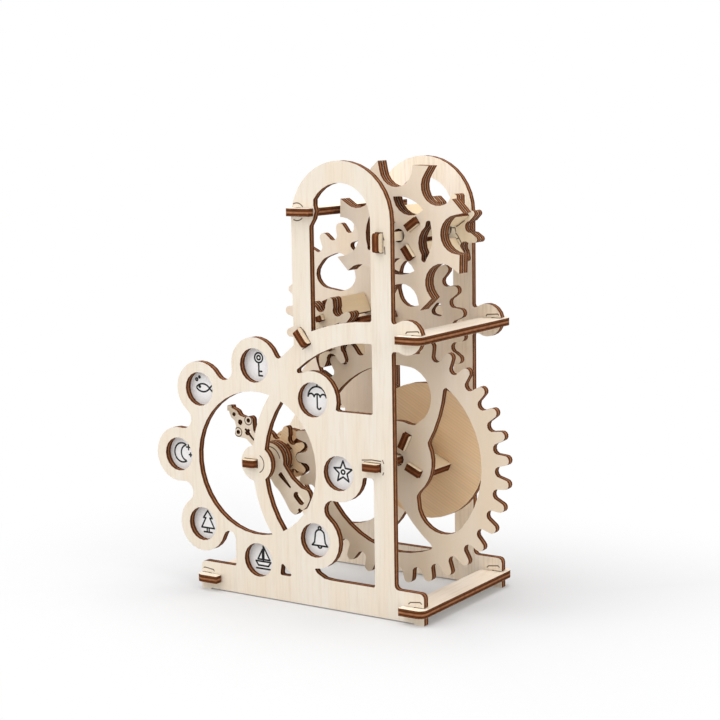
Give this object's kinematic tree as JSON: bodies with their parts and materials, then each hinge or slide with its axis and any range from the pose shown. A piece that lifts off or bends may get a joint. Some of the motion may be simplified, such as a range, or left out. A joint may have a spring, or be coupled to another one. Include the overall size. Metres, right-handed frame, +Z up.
{
  "type": "wooden mechanical gear puzzle",
  "caption": "Plywood gear train between two upright plates: a hand-turned rotor drives a pointer round a dial of picture windows.",
  "frame": {"origin": "middle of the bounding box's underside, on the surface that the feet stand on", "axes": "+X to the right seen from the dial side, +Y from the dial plate to the rear plate, +Z up"},
  "size_m": [0.1514, 0.0694, 0.1707],
  "materials": {
    "pale_birch": "bare laser-cut plywood",
    "warm_birch": "bare laser-cut plywood",
    "tan_birch": "bare laser-cut plywood",
    "grey_birch": "bare laser-cut plywood",
    "printed_disc": "matte printed card"
  },
  "bodies": {
    "frame": {"front_plate": "pale_birch", "rear_plate": "pale_birch", "cross_plate_top": "pale_birch", "cross_plate_middle": "pale_birch", "cross_plate_base_left": "pale_birch", "cross_plate_base_right": "pale_birch", "picture_disc_1": "printed_disc", "picture_disc_2": "printed_disc", "picture_disc_3": "printed_disc", "picture_disc_4": "printed_disc", "picture_disc_5": "printed_disc", "picture_disc_6": "printed_disc", "picture_disc_7": "printed_disc", "picture_disc_8": "printed_disc", "dial_axle_strip": "pale_birch", "drive_axle_strip": "pale_birch", "middle_axle_strip": "pale_birch", "rotor_axle_strip": "pale_birch"},
    "rotor": {"rotor_sheet_1": "warm_birch", "rotor_sheet_2": "warm_birch", "star_sheet_1": "grey_birch", "star_sheet_2": "grey_birch", "rotor_blade_1": "tan_birch", "rotor_blade_2": "tan_birch", "rotor_blade_3": "tan_birch", "rotor_blade_4": "tan_birch"},
    "middle_wheel": {"middle_gear": "grey_birch", "middle_pinion_1": "warm_birch", "middle_pinion_2": "warm_birch", "middle_blade_1": "tan_birch", "middle_blade_2": "tan_birch", "middle_blade_3": "tan_birch", "middle_blade_4": "tan_birch"},
    "drive_wheel": {"big_gear": "pale_birch", "plain_disc": "tan_birch", "drive_blade_1": "warm_birch", "drive_blade_2": "warm_birch", "drive_blade_3": "warm_birch", "drive_blade_4": "warm_birch"},
    "pointer": {"pointer_arm": "warm_birch", "pointer_hub_disc": "warm_birch", "pointer_pinion": "tan_birch", "pointer_flange": "warm_birch", "pointer_blade_1": "grey_birch", "pointer_blade_2": "grey_birch", "pointer_blade_3": "grey_birch", "pointer_blade_4": "grey_birch"}
  },
  "joints": [
    {"name": "rotor_spin", "type": "hinge", "parent": "frame", "child": "rotor", "pos_m": [0.03186, -0.03125, 0.1428], "axis": [0, 1, 0], "continuous": true},
    {"name": "middle_spin", "type": "hinge", "parent": "frame", "child": "middle_wheel", "pos_m": [-0.00274, -0.03125, 0.10436], "axis": [0, 1, 0], "continuous": true},
    {"name": "drive_spin", "type": "hinge", "parent": "frame", "child": "drive_wheel", "pos_m": [0.02821, -0.03125, 0.05769], "axis": [0, 1, 0], "continuous": true},
    {"name": "pointer_spin", "type": "hinge", "parent": "frame", "child": "pointer", "pos_m": [-0.02624, -0.03125, 0.0536], "axis": [0, 1, 0], "continuous": true}
  ],
  "couplings": [
    {"joint": "rotor_spin", "follows": "drive_spin", "ratio": 14},
    {"joint": "middle_spin", "follows": "drive_spin", "ratio": -4},
    {"joint": "pointer_spin", "follows": "drive_spin", "ratio": -4.5714}
  ]
}
